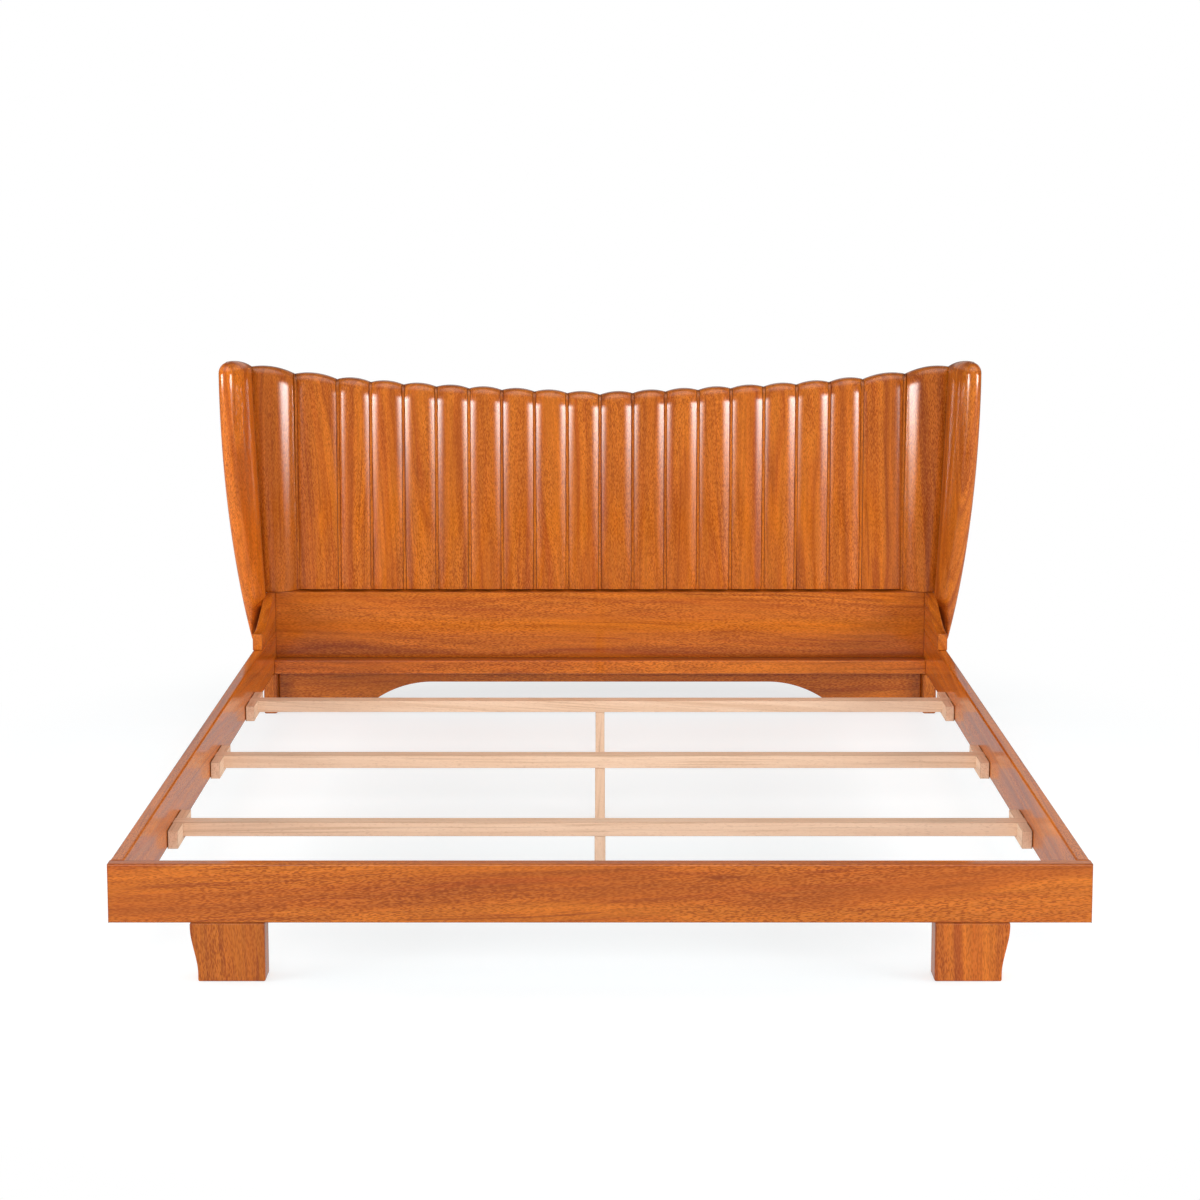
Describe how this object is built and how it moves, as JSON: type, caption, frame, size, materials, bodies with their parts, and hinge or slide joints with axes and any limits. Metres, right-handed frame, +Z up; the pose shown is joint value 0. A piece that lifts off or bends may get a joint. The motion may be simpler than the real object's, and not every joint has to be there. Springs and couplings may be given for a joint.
{
  "type": "bed frame",
  "caption": "King-size platform bed frame in lacquered mahogany: low plain rails, drop-in beech cross bearers on notched blocks, and a fluted headboard with swept wings.",
  "frame": {"origin": "on the floor, below the middle of the whole frame's box", "axes": "+X to the right seen from the foot end, +Y from the foot end towards the headboard, +Z up"},
  "size_m": [2.22, 2.1564, 1.077],
  "materials": {
    "mahogany": "orange-brown mahogany with a ribbon figure under clear gloss lacquer",
    "beech": "pale straight-grained beech, plain satin"
  },
  "bodies": {
    "frame": {"foot_rail": "mahogany", "side_rail_left": "mahogany", "side_rail_right": "mahogany", "front_foot_left": "mahogany", "front_foot_right": "mahogany", "rear_foot_left": "mahogany", "rear_foot_right": "mahogany", "cheek_bracket_left": "mahogany", "cheek_bracket_right": "mahogany", "wing_left": "mahogany", "wing_right": "mahogany", "head_panel": "mahogany", "stave_sill": "mahogany", "head_apron": "mahogany", "head_ledger": "mahogany", "back_batten_lower": "mahogany", "back_batten_upper": "mahogany", "stave_left_01": "mahogany", "stave_left_02": "mahogany", "stave_left_03": "mahogany", "stave_left_04": "mahogany", "stave_left_05": "mahogany", "stave_left_06": "mahogany", "stave_left_07": "mahogany", "stave_left_08": "mahogany", "stave_left_09": "mahogany", "stave_left_10": "mahogany", "stave_right_01": "mahogany", "stave_right_02": "mahogany", "stave_right_03": "mahogany", "stave_right_04": "mahogany", "stave_right_05": "mahogany", "stave_right_06": "mahogany", "stave_right_07": "mahogany", "stave_right_08": "mahogany", "stave_right_09": "mahogany", "stave_right_10": "mahogany", "bearer_block_front_left": "beech", "bearer_block_front_right": "beech", "bearer_block_middle_left": "beech", "bearer_block_middle_right": "beech", "bearer_block_rear_left": "beech", "bearer_block_rear_right": "beech", "foot_dowel_left_lower": "beech", "foot_dowel_left_upper": "beech", "foot_dowel_right_lower": "beech", "foot_dowel_right_upper": "beech", "rear_foot_dowel_left": "beech", "rear_foot_dowel_right": "beech"},
    "bearer_front": {"cross_bearer_front": "beech", "centre_leg_front": "beech", "leg_dowel_front": "beech"},
    "bearer_middle": {"cross_bearer_middle": "beech", "centre_leg_middle": "beech", "leg_dowel_middle": "beech"},
    "bearer_rear": {"cross_bearer_rear": "beech", "centre_leg_rear": "beech", "leg_dowel_rear": "beech"}
  },
  "joints": [
    {"name": "front_bearer_lift", "type": "slide", "parent": "frame", "child": "bearer_front", "axis": [0, 0, 1], "range_m": [0, 0.06]},
    {"name": "middle_bearer_lift", "type": "slide", "parent": "frame", "child": "bearer_middle", "axis": [0, 0, 1], "range_m": [0, 0.06]},
    {"name": "rear_bearer_lift", "type": "slide", "parent": "frame", "child": "bearer_rear", "axis": [0, 0, 1], "range_m": [0, 0.06]}
  ]
}
